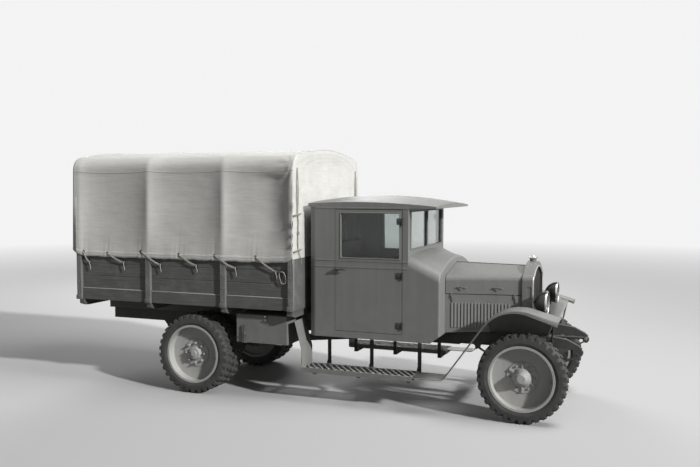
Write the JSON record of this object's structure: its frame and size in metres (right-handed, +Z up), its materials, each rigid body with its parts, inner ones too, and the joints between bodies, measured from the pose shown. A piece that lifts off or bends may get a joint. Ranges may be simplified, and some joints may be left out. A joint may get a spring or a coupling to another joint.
{
  "type": "military cargo truck",
  "caption": "Light cargo truck with closed cab, twin rear wheels, wooden bed and canvas tilt on bows; steering, doors, bonnet, tailgate and tool box open.",
  "frame": {"origin": "on the ground, below the middle of the overall box", "axes": "+X towards the front, -Y is the truck's right-hand side, +Z up"},
  "size_m": [5.556, 1.919, 2.648],
  "materials": {
    "body_paint": "satin paint, dusty",
    "chassis_paint": "matt dark paint",
    "wheel_paint": "satin paint, muddy",
    "painted_wood": "painted boards",
    "bare_wood": "bare ash",
    "canvas": "proofed canvas",
    "rope": "hemp rope",
    "tyre": "worn rubber",
    "glass": "plain glass",
    "radiator_core": "blackened fins",
    "cast_iron": "cast, painted",
    "exhaust_steel": "rusty steel",
    "leather": "worn leathercloth",
    "black_rim": "black hard rubber",
    "bare_steel": "worn steel"
  },
  "bodies": {
    "chassis": {"bed_bearers": "painted_wood", "bed_floor": "bare_wood", "bed_posts": "painted_wood", "bed_sides": "painted_wood", "board_carriers": "chassis_paint", "bonnet_rod": "chassis_paint", "bonnet_sides": "body_paint", "cab_back": "body_paint", "cab_floor": "body_paint", "cab_sides": "body_paint", "canopy": "canvas", "canopy_bows": "bare_wood", "chassis_frame": "chassis_paint", "control_levers": "bare_steel", "cowl": "body_paint", "driveline": "cast_iron", "engine_block": "cast_iron", "exhaust": "exhaust_steel", "fenders": "body_paint", "front_axle": "chassis_paint", "headboard": "painted_wood", "headlamp_glass": "glass", "headlamps": "body_paint", "leaf_springs": "chassis_paint", "radiator_core": "radiator_core", "radiator_shell": "body_paint", "rear_axle": "chassis_paint", "roof": "body_paint", "rope_hank": "rope", "running_boards": "body_paint", "seat_cushions": "leather", "seat_frame": "body_paint", "spring_hangers": "chassis_paint", "starting_handle": "chassis_paint", "steering_column": "chassis_paint", "toolbox": "body_paint", "tow_jaw": "chassis_paint", "windscreen_frame": "body_paint", "windscreen_glass": "glass"},
    "knuckle_right": {"knuckle_right": "chassis_paint"},
    "knuckle_left": {"knuckle_left": "chassis_paint"},
    "tie_rod": {"tie_rod": "chassis_paint"},
    "wheel_front_right": {"wheel_front_right": "wheel_paint", "tyre_front_right": "tyre"},
    "wheel_front_left": {"wheel_front_left": "wheel_paint", "tyre_front_left": "tyre"},
    "wheels_rear_right": {"wheel_rear_right": "wheel_paint", "tyres_rear_right": "tyre"},
    "wheels_rear_left": {"wheel_rear_left": "wheel_paint", "tyres_rear_left": "tyre"},
    "steering_wheel": {"steering_wheel": "black_rim"},
    "door_right": {"door_right": "body_paint", "door_glass_right": "glass"},
    "door_left": {"door_left": "body_paint", "door_glass_left": "glass"},
    "bonnet_right": {"bonnet_right": "body_paint"},
    "bonnet_left": {"bonnet_left": "body_paint"},
    "tailgate": {"tailgate": "painted_wood"},
    "toolbox_lid": {"toolbox_lid": "body_paint"}
  },
  "joints": [
    {"name": "steer_right", "type": "hinge", "parent": "chassis", "child": "knuckle_right", "pos_m": [2.238, -0.6, 0.428], "axis": [0, 0, 1], "range_deg": [-25, 25]},
    {"name": "steer_left", "type": "hinge", "parent": "chassis", "child": "knuckle_left", "pos_m": [2.238, 0.6, 0.428], "axis": [0, 0, 1], "range_deg": [-25, 25]},
    {"name": "tie_rod_pivot", "type": "hinge", "parent": "knuckle_right", "child": "tie_rod", "pos_m": [2.088, -0.6, 0.3317], "axis": [0, 0, 1], "range_deg": [-25, 25]},
    {"name": "front_wheel_right", "type": "hinge", "parent": "knuckle_right", "child": "wheel_front_right", "pos_m": [2.238, -0.703, 0.428], "axis": [0, 1, 0], "continuous": true},
    {"name": "front_wheel_left", "type": "hinge", "parent": "knuckle_left", "child": "wheel_front_left", "pos_m": [2.238, 0.703, 0.428], "axis": [0, 1, 0], "continuous": true},
    {"name": "rear_wheels_right", "type": "hinge", "parent": "chassis", "child": "wheels_rear_right", "pos_m": [-1.262, -0.714, 0.428], "axis": [0, 1, 0], "continuous": true},
    {"name": "rear_wheels_left", "type": "hinge", "parent": "chassis", "child": "wheels_rear_left", "pos_m": [-1.262, 0.714, 0.428], "axis": [0, 1, 0], "continuous": true},
    {"name": "steering_wheel_turn", "type": "hinge", "parent": "chassis", "child": "steering_wheel", "pos_m": [0.77, -0.305, 1.4], "axis": [-0.6932, 0, 0.7207], "range_deg": [-350, 350]},
    {"name": "door_right_hinge", "type": "hinge", "parent": "chassis", "child": "door_right", "pos_m": [1.052, -0.7153, 1.37], "axis": [0, 0, 1], "range_deg": [0, 70]},
    {"name": "door_left_hinge", "type": "hinge", "parent": "chassis", "child": "door_left", "pos_m": [1.052, 0.7153, 1.37], "axis": [0, 0, -1], "range_deg": [0, 70]},
    {"name": "bonnet_right_hinge", "type": "hinge", "parent": "chassis", "child": "bonnet_right", "pos_m": [1.8055, 0, 1.4385], "axis": [-0.9998, 0, 0.0174], "range_deg": [0, 75]},
    {"name": "bonnet_left_hinge", "type": "hinge", "parent": "chassis", "child": "bonnet_left", "pos_m": [1.8055, 0, 1.4385], "axis": [0.9998, 0, -0.0174], "range_deg": [0, 75]},
    {"name": "tailgate_hinge", "type": "hinge", "parent": "chassis", "child": "tailgate", "pos_m": [-2.748, 0, 0.9743], "axis": [0, -1, 0], "range_deg": [0, 175]},
    {"name": "toolbox_lid_hinge", "type": "hinge", "parent": "chassis", "child": "toolbox_lid", "pos_m": [-0.4585, -0.828, 0.59], "axis": [1, 0, 0], "range_deg": [0, 120]}
  ],
  "couplings": [
    {"joint": "steer_left", "follows": "steer_right", "ratio": 1},
    {"joint": "tie_rod_pivot", "follows": "steer_right", "ratio": -1},
    {"joint": "steering_wheel_turn", "follows": "steer_right", "ratio": 14}
  ]
}
